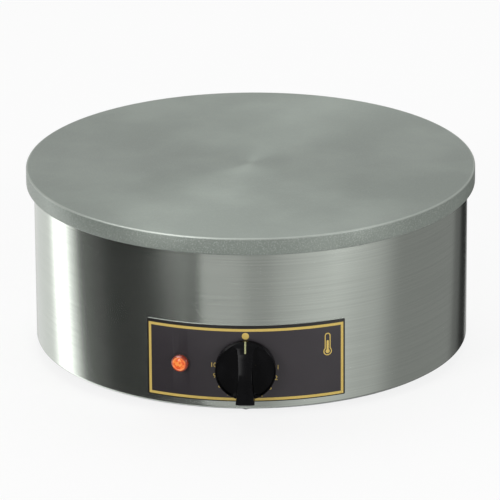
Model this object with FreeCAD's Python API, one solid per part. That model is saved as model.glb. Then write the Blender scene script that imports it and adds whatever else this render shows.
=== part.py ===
import FreeCAD, Part
import math
import os
from FreeCAD import Vector

# Electric crepe maker: a thick iron plate on a low stainless drum, heated from below by a spiral element.
# Millimetres. The origin is on the floor under the drum's centre, +Z is up and the controls face -Y.

# Cooking plate
plate_r = 200.0
plate_t = 15.4
plate_edge_round = 1.3
spigot_t = 4.0
spigot_drop = 4.0
boss_r = 7.0
boss_drop = 8.0

# Drum
plate_overhang = 6.8
drum_h = 143.7
drum_sheet = 1.0
drum_bend_r = 2.5
top_flange_w = 10.0
bottom_flange_w = 18.0
ground_gap = 8.0

# Base plate
base_sheet = 1.2
base_rim_w = 16.0
base_step_w = 6.0
base_rise = 8.0
vent_count = 12
vent_l = 34.0
vent_w = 5.0
vent_inset = 75.7
base_screw_count = 6
base_screw_start = 30.0

# Feet
foot_inset = 27.7
foot_angle = 45.0
foot_bottom_r = 14.0
foot_top_r = 17.0
foot_edge_round = 1.5
foot_recess_depth = 7.0
foot_recess_r = 5.5

# Heating element
tube_r = 4.0
tube_foot_w = 5.0
element_inset = 23.2
spiral_turns = 5
end_bend_r = 14.0
cold_end_drop = 50.0
insulator_r = 5.5
insulator_l = 9.0
pin_r = 1.6
pin_l = 22.0

# Spreader that presses the element to the plate
spreader_arms = 4
spreader_inset = 4.0
spreader_w = 26.0
spreader_t = 2.0
spreader_rib_h = 8.0
spreader_rib_start = 3.5
stud_eye_offset = 16.0

# Insulation and heat shield
shield_drop = 44.0
shield_gap = 19.7
shield_t = 1.0
shield_rim_h = 14.0
board_t = 12.0
spacer_wall = 1.6
hole_round_capillary = 1.0

# Plate clips
clip_w = 22.0
clip_t = 2.0
clip_inner_l = 8.0
clip_grip = 5.0
clip_gap = 0.4
stud_inset = 18.2
plate_clip_count = 3

# Threads, screws and nuts
m6_r = 3.0
m6_flats = 10.0
m6_nut_h = 5.0
m5_r = 2.5
m5_flats = 8.0
m5_nut_h = 4.0
m4_r = 2.0
m4_flats = 7.0
m4_nut_h = 3.2
screw_head_h = 2.4
small_head_ratio = 1.6
thread_depth = 10.0
stud_end = 3.0
hole_gap = 0.3
thread_gap = 0.05
sheet_gap = 0.1

# Controls: heights are above the drum's lower edge, angles run to the right from the front
control_h = 38.0
label_bottom_h = 7.0
label_top_h = 77.3
label_half_angle = 26.2
label_t = 0.6
label_corner_r = 1.0
lamp_side = 56.2
lamp_h = 40.1

# Control knob
knob_r = 26.4
knob_l = 23.4
knob_clearance = 0.8
knob_skirt_l = 8.0
knob_lip = 1.1
knob_dish = 3.0
knob_wall = 1.8
grip_waist = 5.95
grip_foot_flare = 3.1
grip_head_flare = 2.6
grip_waist_offset = 1.5
ramp_foot_l = 4.0
ramp_slope = 34.0
crest_round = 20.0
grip_end_round = 3.0
dish_corner_r = 4.0
hub_r = 5.6
knob_bore_l = 15.0
knob_rib_t = 1.4
hub_spring_t = 0.6
hub_spring_w = 2.6
hub_spring_opening = 70.0

# Thermostat
spindle_r = 3.0
spindle_flat = 1.2
spindle_fit = 0.05
spindle_flat_fit = 0.08
spindle_end_gap = 1.0
neck_r = 5.0
neck_l = 6.0
thermostat_w = 44.0
thermostat_h = 54.0
thermostat_l = 34.0
thermostat_round = 3.0
spindle_inside_l = 20.0
thermostat_screw_pitch = 28.0
bracket_reach = 19.0
bracket_w = 62.0
bracket_h = 44.0
bracket_t = 1.5
bracket_foot_w = 12.0
front_hole_r = 6.0

# Temperature bulb and capillary
bulb_r = 3.0
bulb_l = 76.0
bulb_turn = 2
bulb_offset = 3.0
capillary_r = 1.0
capillary_bend_r = 8.0
capillary_lead = 9.0
capillary_shield_gap = 10.0
bulb_clip_w = 10.0
bulb_clip_t = 1.0
bulb_clip_margin = 3.4

# Pilot lamp
lamp_hole_r = 6.1
lamp_body_r = 5.9
lamp_lens_r = 7.9
lamp_lens_l = 4.2
lamp_lens_edge = 1.6
lamp_lens_round = 0.5
lamp_body_l = 26.0
lamp_flange_t = 1.0
lamp_tab_l = 8.0
lamp_tab_w = 4.8
lamp_tab_t = 0.8
lamp_clip_r = 9.0
lamp_clip_t = 1.0

# Cable gland
gland_h = 34.0
gland_thread_r = 10.0
gland_flats = 26.0
gland_body_l = 7.0
gland_neck_r = 9.2
gland_neck_l = 9.0
gland_cap_flats = 24.0
gland_cap_hex_l = 9.0
gland_cap_l = 17.5
gland_cap_end_r = 9.5
gland_bore_r = 6.6
gland_wall = 1.2
gland_seal_bore_r = 5.2
gland_nose_l = 1.5
gland_nut_t = 5.0
gland_nut_flats = 27.0

# Terminal block and earth stud
block_l = 46.0
block_w = 24.0
block_h = 20.0
block_inset = 39.7
block_poles = 3
block_pole_pitch = 14.0
block_slot_w = 10.0
block_slot_h = 9.0
block_slot_l = 6.0
earth_x = 46.0
earth_inset = 17.7
earth_stud_l = 20.0

# Places worked out from the sizes above
drum_r = plate_r - plate_overhang
drum_inner_r = drum_r - drum_sheet
flange_inner_r = drum_r - top_flange_w
stud_circle_r = flange_inner_r - stud_inset
spiral_pitch = (flange_inner_r - element_inset) / spiral_turns
spreader_l = spiral_pitch * (spiral_turns - 0.5) - spreader_inset
bulb_y = bulb_offset - (bulb_turn + 0.5) * spiral_pitch
shield_r = drum_inner_r - shield_gap
base_rim_r = drum_inner_r - drum_bend_r
base_floor_r = base_rim_r - base_rim_w - base_step_w
base_screw_circle_r = base_rim_r - base_rim_w / 2
foot_circle_r = base_floor_r - foot_inset
vent_circle_r = base_floor_r - vent_inset
block_y = base_floor_r - block_inset
earth_y = base_floor_r - earth_inset
drum_bottom_z = ground_gap
drum_top_z = drum_bottom_z + drum_h
plate_bottom_z = drum_top_z
plate_top_z = plate_bottom_z + plate_t
element_z = plate_bottom_z - tube_r
spreader_top_z = plate_bottom_z - 2 * tube_r
spreader_bottom_z = spreader_top_z - spreader_t
shield_z = plate_bottom_z - shield_drop
board_z = shield_z + shield_t
board_top_z = board_z + board_t
base_rim_z = drum_bottom_z - base_sheet
base_floor_z = base_rim_z + base_rise
base_floor_top_z = base_floor_z + base_sheet
control_z = drum_bottom_z + control_h
lamp_z = drum_bottom_z + lamp_h
gland_z = drum_bottom_z + gland_h
label_inner_r = drum_r + sheet_gap
label_outer_r = label_inner_r + label_t
knob_back = label_outer_r + knob_clearance
bracket_face = drum_inner_r - bracket_reach
cold_end_z = element_z - cold_end_drop
capillary_drop_z = shield_z - capillary_shield_gap
lamp_angle = -math.degrees(math.asin(lamp_side / drum_r))


def corner_points(before, corner, after, radius):
    # Start, middle and end of the arc that rounds one corner of an outline.
    to_before = (before - corner).normalize()
    to_after = (after - corner).normalize()
    half = math.acos(max(-1.0, min(1.0, to_before.dot(to_after)))) / 2
    reach = radius / math.tan(half)
    bisector = (to_before + to_after).normalize()
    centre = corner + bisector * (radius / math.sin(half))
    return corner + to_before * reach, centre - bisector * radius, corner + to_after * reach


def outline(corners, upright=False, bevelled=False):
    # A flat face from corners (a, b) or (a, b, rounding), in XY, or in XZ when it is upright.
    # Where it is bevelled, a straight line joins the rounding's ends, as on a broken edge.
    points = []
    for corner in corners:
        point = Vector(corner[0], 0, corner[1]) if upright else Vector(corner[0], corner[1], 0)
        points.append((point, corner[2] if len(corner) > 2 else 0))
    edges = []
    last_end = None
    first_start = None
    for index, (point, radius) in enumerate(points):
        before = points[index - 1][0]
        after = points[(index + 1) % len(points)][0]
        if radius:
            start, middle, end = corner_points(before, point, after, radius)
        else:
            start = middle = end = point
        if last_end is not None:
            edges.append(Part.LineSegment(last_end, start).toShape())
        else:
            first_start = start
        if radius and bevelled:
            edges.append(Part.LineSegment(start, end).toShape())
        elif radius:
            edges.append(Part.Arc(start, middle, end).toShape())
        last_end = end
    edges.append(Part.LineSegment(last_end, first_start).toShape())
    return Part.Face(Part.Wire(edges))


def turned(corners):
    # A solid turned about the drum's axis from its half section of (radius, height) corners.
    return outline(corners, True, True).revolve(Vector(0, 0, 0), Vector(0, 0, 1), 360)


def raised(corners, bottom, top):
    # A flat outline raised between two heights.
    face = outline(corners)
    face.translate(Vector(0, 0, bottom))
    return face.extrude(Vector(0, 0, top - bottom))


def rod(radius, bottom, top, x=0.0, y=0.0):
    return Part.makeCylinder(radius, top - bottom, Vector(x, y, bottom))


def tube(inner_r, outer_r, bottom, top, x=0.0, y=0.0):
    return rod(outer_r, bottom, top, x, y).cut(rod(inner_r, bottom, top, x, y))


def block(x0, x1, y0, y1, z0, z1):
    return Part.makeBox(x1 - x0, y1 - y0, z1 - z0, Vector(x0, y0, z0))


def hexagon(flats, bottom, top, x=0.0, y=0.0):
    corner_r = flats / 2 / math.cos(math.radians(30))
    corners = []
    for side in range(6):
        angle = math.radians(60 * side)
        corners.append((x + corner_r * math.cos(angle), y + corner_r * math.sin(angle)))
    return raised(corners, bottom, top)


def nut(flats, thread_r, bottom, top, x=0.0, y=0.0):
    return hexagon(flats, bottom, top, x, y).cut(rod(thread_r + thread_gap, bottom, top, x, y))


def hex_screw(thread_r, flats, head_bottom, tip, x=0.0, y=0.0):
    # A hexagon screw driven upwards, with its head below.
    shank_bottom = head_bottom + screw_head_h
    head = hexagon(flats, head_bottom, shank_bottom, x, y)
    return head.fuse(rod(thread_r, shank_bottom, tip, x, y)).removeSplitter()


def round_screw(thread_r, head_bottom, length, x=0.0, y=0.0):
    # A screw along +Z with a small round head at its start.
    head = rod(thread_r * small_head_ratio, head_bottom, head_bottom + screw_head_h, x, y)
    shank = rod(thread_r, head_bottom + screw_head_h, head_bottom + screw_head_h + length, x, y)
    return head.fuse(shank).removeSplitter()


def about_axis(shape, angle):
    copy = shape.copy()
    copy.rotate(Vector(0, 0, 0), Vector(0, 0, 1), angle)
    return copy


def ring_of(shape, count, start=0.0):
    return [about_axis(shape, start + 360.0 * index / count) for index in range(count)]


def facing_out(shape, height, angle=0.0):
    # Lays a piece built along +Z so that +Z points out of the drum's wall, angle degrees right of the front.
    copy = shape.copy()
    copy.rotate(Vector(0, 0, 0), Vector(1, 0, 0), 90)
    copy.rotate(Vector(0, 0, 0), Vector(0, 0, 1), angle)
    copy.translate(Vector(0, 0, height))
    return copy


def fine_tube_along(points, bend_r, radius):
    # A fine tube, six-sided for want of size, along straight runs joined by tangent arcs. It starts along +X.
    edges = []
    start = points[0]
    for before, corner, after in zip(points, points[1:], points[2:]):
        first, middle, last = corner_points(before, corner, after, bend_r)
        edges.append(Part.LineSegment(start, first).toShape())
        edges.append(Part.Arc(first, middle, last).toShape())
        start = last
    edges.append(Part.LineSegment(start, points[-1]).toShape())
    around = [math.radians(60 * side) for side in range(7)]
    corners = [points[0] + Vector(0, radius * math.cos(a), radius * math.sin(a)) for a in around]
    section = Part.makePolygon(corners)
    return Part.Wire(edges).makePipeShell([section], True, False)


def save(name, *solids):
    # Each node is one file, and like fasteners share one as separate solids.
    shape = solids[0] if len(solids) == 1 else Part.makeCompound(list(solids))
    shape.exportStep("parts/" + name + ".step")


def element_studs_xy():
    return [(0.0, -stud_eye_offset), (0.0, stud_eye_offset)]


def cooking_plate():
    # Turned iron disc with a spigot inside the drum's flange and bosses for its studs.
    spigot_r = flange_inner_r - hole_gap
    body = turned([
        (0, plate_bottom_z),
        (spigot_r - spigot_t, plate_bottom_z),
        (spigot_r - spigot_t, plate_bottom_z - spigot_drop),
        (spigot_r, plate_bottom_z - spigot_drop),
        (spigot_r, plate_bottom_z),
        (plate_r, plate_bottom_z, plate_edge_round),
        (plate_r, plate_top_z, plate_edge_round),
        (0, plate_top_z),
    ])
    gap_half = clip_w / 2 + 2 * hole_gap
    gap = block(-gap_half, gap_half, -plate_r, -stud_circle_r, plate_bottom_z - boss_drop, plate_bottom_z)
    body = body.cut(ring_of(gap, plate_clip_count))
    boss = rod(boss_r, plate_bottom_z - boss_drop, plate_bottom_z, 0, -stud_circle_r)
    body = body.fuse(ring_of(boss, plate_clip_count)).removeSplitter()
    stud_hole = rod(m6_r + thread_gap, plate_bottom_z - boss_drop, plate_bottom_z + thread_depth / 2,
                    0, -stud_circle_r)
    holes = ring_of(stud_hole, plate_clip_count)
    for x, y in element_studs_xy():
        holes.append(rod(m6_r + thread_gap, plate_bottom_z, plate_bottom_z + thread_depth, x, y))
    holes.append(rod(m4_r + thread_gap, plate_bottom_z, plate_bottom_z + thread_depth, 0, bulb_screw_y()))
    return body.cut(holes)


def clip_pad_top():
    return plate_bottom_z - boss_drop - clip_gap


def plate_clips():
    # Stepped clips: the pad sits under a boss and the hook holds the drum's top flange.
    hook_top = drum_top_z - drum_sheet
    step_r = stud_circle_r + boss_r + clip_t
    hook_r = flange_inner_r + clip_grip
    section = [
        (-(stud_circle_r - clip_inner_l), clip_pad_top() - clip_t),
        (-(step_r + clip_t), clip_pad_top() - clip_t),
        (-(step_r + clip_t), hook_top - clip_t),
        (-hook_r, hook_top - clip_t),
        (-hook_r, hook_top),
        (-step_r, hook_top),
        (-step_r, clip_pad_top()),
        (-(stud_circle_r - clip_inner_l), clip_pad_top()),
    ]
    face = outline(section, upright=True)
    face.rotate(Vector(0, 0, 0), Vector(0, 0, 1), 90)
    face.translate(Vector(-clip_w / 2, 0, 0))
    clip = face.extrude(Vector(clip_w, 0, 0))
    clip = clip.cut(rod(m6_r + hole_gap, clip_pad_top() - clip_t, clip_pad_top(), 0, -stud_circle_r))
    return ring_of(clip, plate_clip_count)


def plate_studs():
    bottom = clip_pad_top() - clip_t - m6_nut_h - stud_end
    stud = rod(m6_r, bottom, plate_bottom_z + thread_depth / 2, 0, -stud_circle_r)
    return ring_of(stud, plate_clip_count)


def plate_nuts():
    top = clip_pad_top() - clip_t
    return ring_of(nut(m6_flats, m6_r, top - m6_nut_h, top, 0, -stud_circle_r), plate_clip_count)


def drum_wall():
    # Rolled sheet with its edges turned in, flanged at the top for the plate and below for the base plate.
    outer = turned([
        (drum_r - bottom_flange_w, drum_bottom_z),
        (drum_r, drum_bottom_z, drum_bend_r),
        (drum_r, drum_top_z, drum_bend_r),
        (flange_inner_r, drum_top_z),
        (flange_inner_r, drum_top_z - drum_sheet),
        (drum_inner_r, drum_top_z - drum_sheet, drum_bend_r - drum_sheet),
        (drum_inner_r, drum_bottom_z + drum_sheet, drum_bend_r - drum_sheet),
        (drum_r - bottom_flange_w, drum_bottom_z + drum_sheet),
    ])
    through = (drum_r - bottom_flange_w, drum_r + drum_sheet)
    spindle_hole = facing_out(rod(front_hole_r, *through), control_z)
    lamp_hole = facing_out(rod(lamp_hole_r, *through), lamp_z, lamp_angle)
    gland_hole = facing_out(rod(gland_thread_r + hole_gap, *through), gland_z, 180)
    screw_hole = rod(m4_r + hole_gap, drum_bottom_z, drum_bottom_z + drum_sheet, base_screw_circle_r, 0)
    holes = ring_of(screw_hole, base_screw_count, base_screw_start)
    return outer.cut([spindle_hole, lamp_hole, gland_hole] + holes)


def base_plate():
    # Pressed sheet: the rim lies under the drum's flange and the floor is raised above the feet.
    rim_inner = base_rim_r - base_rim_w
    body = turned([
        (0, base_floor_z),
        (base_floor_r, base_floor_z),
        (rim_inner, base_rim_z),
        (base_rim_r, base_rim_z),
        (base_rim_r, base_rim_z + base_sheet),
        (rim_inner, base_rim_z + base_sheet),
        (base_floor_r, base_floor_top_z),
        (0, base_floor_top_z),
    ])
    half = vent_w / 2
    vent = block(vent_circle_r, vent_circle_r + vent_l, -half, half, base_floor_z, base_floor_top_z)
    holes = ring_of(vent, vent_count, 180.0 / vent_count)
    screw_hole = rod(m4_r + hole_gap, base_rim_z, base_rim_z + base_sheet, base_screw_circle_r, 0)
    holes += ring_of(screw_hole, base_screw_count, base_screw_start)
    holes += ring_of(rod(m5_r + hole_gap, base_floor_z, base_floor_top_z, foot_circle_r, 0), 4, foot_angle)
    holes.append(rod(m5_r + hole_gap, base_floor_z, base_floor_top_z, earth_x, earth_y))
    for x in (-block_pole_pitch * block_poles / 2, block_pole_pitch * block_poles / 2):
        holes.append(rod(m4_r + hole_gap, base_floor_z, base_floor_top_z, x, block_y))
    return body.cut(holes)


def base_screws():
    tip = drum_bottom_z + drum_sheet + m4_nut_h
    screw = hex_screw(m4_r, m4_flats, base_rim_z - screw_head_h, tip, base_screw_circle_r)
    return ring_of(screw, base_screw_count, base_screw_start)


def base_nuts():
    bottom = drum_bottom_z + drum_sheet
    return ring_of(nut(m4_flats, m4_r, bottom, bottom + m4_nut_h, base_screw_circle_r), base_screw_count,
                   base_screw_start)


def foot():
    # Moulded rubber foot, narrower below, with a deep recess for its screw head.
    foot_shape = turned([
        (m5_r + hole_gap, foot_recess_depth),
        (foot_recess_r, foot_recess_depth),
        (foot_recess_r, 0),
        (foot_bottom_r, 0, foot_edge_round),
        (foot_top_r, base_floor_z),
        (m5_r + hole_gap, base_floor_z),
    ])
    foot_shape.translate(Vector(foot_circle_r, 0, 0))
    return foot_shape


def foot_screws():
    tip = base_floor_top_z + m5_nut_h
    screw = hex_screw(m5_r, m5_flats, foot_recess_depth - screw_head_h, tip, foot_circle_r)
    return ring_of(screw, 4, foot_angle)


def foot_nuts():
    nut_shape = nut(m5_flats, m5_r, base_floor_top_z, base_floor_top_z + m5_nut_h, foot_circle_r)
    return ring_of(nut_shape, 4, foot_angle)


def tube_section():
    # The sheath is pressed flat where it meets the plate and narrows below.
    # Seen along +X, its top is at the origin.
    corners = [(-tube_r, 0), (tube_r, 0), (tube_foot_w / 2, -2 * tube_r), (-tube_foot_w / 2, -2 * tube_r)]
    face = outline([(y, z) for y, z in corners], upright=True)
    face.rotate(Vector(0, 0, 0), Vector(0, 0, 1), 90)
    return face


def half_turn(radius, right):
    # One semicircle of the double spiral, turned about its centre on the Y axis.
    side = 1 if right else -1
    centre_y = side * spiral_pitch / 2
    section = tube_section()
    section.translate(Vector(0, centre_y - side * radius, plate_bottom_z))
    return section.revolve(Vector(0, centre_y, 0), Vector(0, 0, 1), 180)


def cold_end(y):
    # Past the spiral the tube bends down and runs straight through the insulation.
    section = tube_section()
    section.translate(Vector(0, y, plate_bottom_z))
    bend_z = plate_bottom_z - tube_r - end_bend_r
    bend = section.revolve(Vector(0, y, bend_z), Vector(0, -1, 0), 90)
    straight_section = tube_section()
    straight_section.rotate(Vector(0, 0, -tube_r), Vector(0, -1, 0), 90)
    straight_section.translate(Vector(-end_bend_r, y, bend_z + tube_r))
    return bend.fuse(straight_section.extrude(Vector(0, 0, cold_end_z - bend_z)))


def cold_end_ys():
    outer = spiral_pitch * spiral_turns
    return outer, outer - spiral_pitch


def heating_element():
    # Sheathed tube wound as a double spiral of semicircles, with an S in the middle.
    # Both ends are at the back.
    pieces = []
    for index in range(spiral_turns):
        radius = spiral_pitch / 2 + spiral_pitch * index
        pieces.append(half_turn(radius, right=index % 2 == 0))
        if index < spiral_turns - 1:
            pieces.append(half_turn(radius, right=index % 2 == 1))
    pieces += [cold_end(y) for y in cold_end_ys()]
    return pieces[0].fuse(pieces[1:]).removeSplitter()


def element_insulators():
    return [tube(pin_r + thread_gap, insulator_r, cold_end_z - insulator_l, cold_end_z, -end_bend_r, y)
            for y in cold_end_ys()]


def element_terminals():
    # A pin leaves each ceramic bead and ends in a flat tab.
    pins = []
    for y in cold_end_ys():
        pin = rod(pin_r, cold_end_z - pin_l, cold_end_z, -end_bend_r, y)
        tab_half = lamp_tab_w / 2
        tab = block(-end_bend_r - tab_half, -end_bend_r + tab_half, y - lamp_tab_t / 2, y + lamp_tab_t / 2,
                    cold_end_z - pin_l - lamp_tab_l, cold_end_z - pin_l)
        pins.append(pin.fuse(tab).removeSplitter())
    return pins


def element_spreader():
    # Cross of pressed channels on the two studs, each arm stiffened by turned-down sides.
    half = spreader_w / 2
    arm = raised([(0, -half), (spreader_l, -half, half / 2), (spreader_l, half, half / 2), (0, half)],
                 spreader_bottom_z, spreader_top_z)
    rib_end = spreader_l - half / 2
    rib_start = stud_eye_offset + spreader_rib_start
    ribs = [block(rib_start, rib_end, side * (half - spreader_t / 2) - spreader_t / 2,
                  side * (half - spreader_t / 2) + spreader_t / 2,
                  spreader_bottom_z - spreader_rib_h, spreader_bottom_z) for side in (-1, 1)]
    arm = arm.fuse(ribs)
    hub = rod(stud_eye_offset + half, spreader_bottom_z, spreader_top_z)
    body = hub.fuse(ring_of(arm, spreader_arms, 180.0 / spreader_arms)).removeSplitter()
    hole_r = m6_r + hole_gap
    return body.cut([rod(hole_r, spreader_bottom_z, spreader_top_z, x, y) for x, y in element_studs_xy()])


def element_studs():
    bottom = shield_z - m6_nut_h - stud_end
    return [rod(m6_r, bottom, plate_bottom_z + thread_depth, x, y) for x, y in element_studs_xy()]


def spreader_nuts():
    return [nut(m6_flats, m6_r, spreader_bottom_z - m6_nut_h, spreader_bottom_z, x, y)
            for x, y in element_studs_xy()]


def shield_spacers():
    inner = m6_r + hole_gap
    return [tube(inner, inner + spacer_wall, board_top_z, spreader_bottom_z - m6_nut_h, x, y)
            for x, y in element_studs_xy()]


def shield_nuts():
    return [nut(m6_flats, m6_r, shield_z - m6_nut_h, shield_z, x, y) for x, y in element_studs_xy()]


def shield_holes(bottom, top):
    holes = [rod(m6_r + hole_gap, bottom, top, x, y) for x, y in element_studs_xy()]
    cold_end_hole_r = tube_r * math.sqrt(2) + hole_gap
    holes += [rod(cold_end_hole_r, bottom, top, -end_bend_r, y) for y in cold_end_ys()]
    holes.append(rod(capillary_r + hole_round_capillary, bottom, top, capillary_x(), bulb_y))
    return holes


def insulation_board():
    # Rigid mineral board in the heat shield, below the element.
    board = rod(shield_r - shield_t - 2 * hole_gap, board_z, board_top_z)
    return board.cut(shield_holes(board_z, board_top_z))


def heat_shield():
    # Shallow pressed tray that holds the board.
    tray = turned([
        (0, shield_z),
        (shield_r, shield_z, 2 * shield_t),
        (shield_r, shield_z + shield_rim_h),
        (shield_r - shield_t, shield_z + shield_rim_h),
        (shield_r - shield_t, shield_z + shield_t, hole_gap),
        (0, shield_z + shield_t),
    ])
    return tray.cut(shield_holes(shield_z, shield_z + shield_t))


def bulb_screw_y():
    head_r = m4_r * small_head_ratio
    return bulb_y - bulb_r - bulb_clip_t - head_r - hole_gap


def capillary_x():
    return bulb_l / 2 + capillary_lead


def thermostat_capillary():
    # Bulb against the plate, then a fine tube down through the shield to the thermostat.
    bulb_z = plate_bottom_z - bulb_r
    bulb = Part.makeCylinder(bulb_r, bulb_l, Vector(-bulb_l / 2, bulb_y, bulb_z), Vector(1, 0, 0))
    thermostat_y = -(bracket_face - bracket_t - thermostat_l / 2)
    thermostat_top = control_z + thermostat_h / 2
    path = [
        Vector(bulb_l / 2, bulb_y, bulb_z),
        Vector(capillary_x(), bulb_y, bulb_z),
        Vector(capillary_x(), bulb_y, capillary_drop_z),
        Vector(0, thermostat_y, capillary_drop_z),
        Vector(0, thermostat_y, thermostat_top),
    ]
    return bulb.fuse(fine_tube_along(path, capillary_bend_r, capillary_r))


def bulb_clip():
    # A saddle of thin strip presses the bulb to the plate, with a tab beside it for the screw.
    half = bulb_clip_w / 2
    bulb_z = plate_bottom_z - bulb_r
    shell_r = bulb_r + thread_gap + bulb_clip_t
    outer = Part.makeCylinder(shell_r, bulb_clip_w, Vector(-half, bulb_y, bulb_z), Vector(1, 0, 0))
    tab_top = plate_bottom_z
    outer = outer.common(block(-half, half, bulb_y - shell_r, bulb_y + shell_r, 0, bulb_z))
    side = block(-half, half, bulb_y - shell_r, bulb_y + shell_r, bulb_z, tab_top)
    tab_end = bulb_screw_y() - bulb_clip_margin
    tab = block(-half, half, tab_end, bulb_y, tab_top - bulb_clip_t, tab_top)
    slot_half = bulb_r + thread_gap
    inner = Part.makeCylinder(slot_half, bulb_clip_w, Vector(-half, bulb_y, bulb_z), Vector(1, 0, 0))
    slot = block(-half, half, bulb_y - slot_half, bulb_y + slot_half, bulb_z, tab_top)
    clip = outer.fuse([side, tab]).cut([inner, slot]).removeSplitter()
    return clip.cut(rod(m4_r + hole_gap, tab_top - bulb_clip_t, tab_top, 0, bulb_screw_y()))


def bulb_clip_screw():
    length = bulb_clip_t + thread_depth - stud_end
    return round_screw(m4_r, plate_bottom_z - bulb_clip_t - screw_head_h, length, 0, bulb_screw_y())


def curved_sheet(inner_r, outer_r, half_angle, bottom, top):
    # A strip of a cylinder's wall, centred on the front.
    ends = [math.radians(-90 + side * half_angle) for side in (-1, 1)]
    edges = []
    for radius in (inner_r, outer_r):
        start, end = [Vector(radius * math.cos(a), radius * math.sin(a), bottom) for a in ends]
        edges.append(Part.Arc(start, Vector(0, -radius, bottom), end).toShape())
    for a in ends:
        inner = Vector(inner_r * math.cos(a), inner_r * math.sin(a), bottom)
        outer = Vector(outer_r * math.cos(a), outer_r * math.sin(a), bottom)
        edges.append(Part.LineSegment(inner, outer).toShape())
    face = Part.Face(Part.Wire(Part.__sortEdges__(edges)))
    return face.extrude(Vector(0, 0, top - bottom))


def control_label():
    # Thin printed sheet bonded to the drum's front, with holes for the spindle and the lamp.
    sheet = curved_sheet(label_inner_r, label_outer_r, label_half_angle, drum_bottom_z + label_bottom_h,
                         drum_bottom_z + label_top_h)
    corners = [edge for edge in sheet.Edges if edge.Length < 2 * label_t]
    sheet = sheet.makeFillet(label_corner_r, corners)
    through = (drum_inner_r - drum_bend_r, label_outer_r + label_t)
    return sheet.cut([
        facing_out(rod(front_hole_r, *through), control_z),
        facing_out(rod(lamp_hole_r, *through), lamp_z, lamp_angle),
    ])


def thermostat_bracket():
    # Hat-shaped bracket welded inside the drum, with a flat face for the thermostat.
    wall_r = drum_inner_r - sheet_gap
    bottom = control_z - bracket_h / 2
    top = control_z + bracket_h / 2
    half = bracket_w / 2
    reach = half + bracket_foot_w
    foot_angle_half = math.degrees(math.asin(reach / wall_r))
    feet = curved_sheet(wall_r - bracket_t, wall_r, foot_angle_half, bottom, top)
    feet = feet.cut(block(-half + bracket_t, half - bracket_t, -drum_r, 0, bottom, top))
    hat = block(-half, half, -drum_r, -(bracket_face - bracket_t), bottom, top)
    inside = block(-half + bracket_t, half - bracket_t, -drum_r, -bracket_face, bottom, top)
    hat = hat.cut(inside).common(rod(wall_r, bottom, top))
    bracket = hat.fuse(feet).removeSplitter()
    through = (bracket_face - 2 * bracket_t, bracket_face + bracket_t)
    holes = [facing_out(rod(neck_r + hole_gap, *through), control_z)]
    for x in (-thermostat_screw_pitch / 2, thermostat_screw_pitch / 2):
        holes.append(facing_out(rod(m4_r + hole_gap, *through, x, 0), control_z))
    return bracket.cut(holes)


def thermostat_body():
    # Moulded switch housing with a metal front and a neck that guides the spindle.
    front = bracket_face - bracket_t
    back = front - thermostat_l
    half_w = thermostat_w / 2
    half_h = thermostat_h / 2
    housing = raised([
        (-half_w, -half_h, thermostat_round),
        (half_w, -half_h, thermostat_round),
        (half_w, half_h, thermostat_round),
        (-half_w, half_h, thermostat_round),
    ], back, front)
    neck = rod(neck_r, front, front + neck_l)
    body = housing.fuse(neck).removeSplitter()
    cuts = [rod(spindle_r + spindle_fit, front - spindle_inside_l, front + neck_l)]
    for x in (-thermostat_screw_pitch / 2, thermostat_screw_pitch / 2):
        cuts.append(rod(m4_r + thread_gap, front - thread_depth, front, x, 0))
    return facing_out(body.cut(cuts), control_z)


def thermostat_screws():
    # Driven from the front before the bracket is closed by the drum.
    screws = []
    for x in (-thermostat_screw_pitch / 2, thermostat_screw_pitch / 2):
        head = rod(m4_r * small_head_ratio, bracket_face, bracket_face + screw_head_h, x, 0)
        shank = rod(m4_r, bracket_face - bracket_t - thread_depth + stud_end, bracket_face, x, 0)
        screws.append(facing_out(head.fuse(shank).removeSplitter(), control_z))
    return screws


def spindle_tip():
    return knob_back + knob_bore_l - spindle_end_gap


def flatted_rod(radius, flat, bottom, top):
    # A rod with a flat on its upper side.
    return rod(radius, bottom, top).cut(block(-radius, radius, radius - flat, radius, bottom, top))


def thermostat_spindle():
    back = bracket_face - bracket_t - spindle_inside_l + thread_gap
    plain_end = knob_back
    plain = rod(spindle_r, back, plain_end)
    tip = flatted_rod(spindle_r, spindle_flat, plain_end, spindle_tip())
    return facing_out(plain.fuse(tip).removeSplitter(), control_z)


def grip_outline(inset):
    # The grip seen from the front: an hourglass, wider at its foot than at its head, longer than the knob.
    reach = knob_r + 2 * knob_lip
    waist = grip_waist - inset
    foot_half = waist + grip_foot_flare
    head_half = waist + grip_head_flare
    edges = [
        Part.Arc(Vector(foot_half, -reach, 0), Vector(waist, grip_waist_offset, 0),
                 Vector(head_half, reach, 0)).toShape(),
        Part.LineSegment(Vector(head_half, reach, 0), Vector(-head_half, reach, 0)).toShape(),
        Part.Arc(Vector(-head_half, reach, 0), Vector(-waist, grip_waist_offset, 0),
                 Vector(-foot_half, -reach, 0)).toShape(),
        Part.LineSegment(Vector(-foot_half, -reach, 0), Vector(foot_half, -reach, 0)).toShape(),
    ]
    return Part.Face(Part.Wire(edges))


def grip_side(inset, half_width):
    # The grip seen from the side: it rises from the skirt's upper edge along a ramp to a rounded crest.
    foot_y = -knob_r + inset
    crest = knob_l - inset
    slope = math.tan(math.radians(ramp_slope))
    head_y = knob_r + knob_lip
    head_z = ramp_foot_l - inset - knob_lip * slope
    crest_y = head_y - (crest - head_z) / slope
    face = outline([
        (foot_y, -knob_l),
        (foot_y, crest, grip_end_round),
        (crest_y, crest, crest_round),
        (head_y, head_z),
        (head_y, -knob_l),
    ], upright=True)
    face.rotate(Vector(0, 0, 0), Vector(0, 0, 1), 90)
    face.translate(Vector(-half_width, 0, 0))
    return face.extrude(Vector(2 * half_width, 0, 0))


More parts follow.
